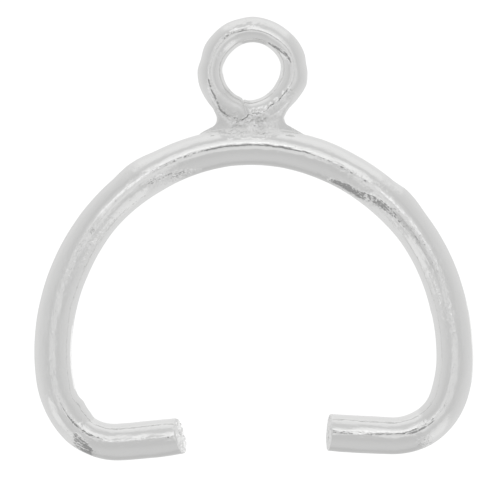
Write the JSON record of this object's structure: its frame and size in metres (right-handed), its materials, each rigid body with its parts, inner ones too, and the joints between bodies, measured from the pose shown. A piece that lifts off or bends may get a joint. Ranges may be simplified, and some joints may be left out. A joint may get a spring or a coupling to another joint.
{
  "type": "wire bail finding",
  "caption": "Round wire bent into an arch with inward pegs for a drilled bead, and a small closed ring soldered on top to hang it by.",
  "frame": {"origin": "middle of the bail's outline on the plane that its back lies on", "axes": "+X to the bail's right, +Y up from the pegs to the ring, +Z out of the face that the picture shows"},
  "size_m": [0.014, 0.0142, 0.0012],
  "materials": {
    "silver": "polished silver with fine drawing lines and handling scratches"
  },
  "bodies": {
    "root": {"bail": "silver"}
  },
  "joints": []
}
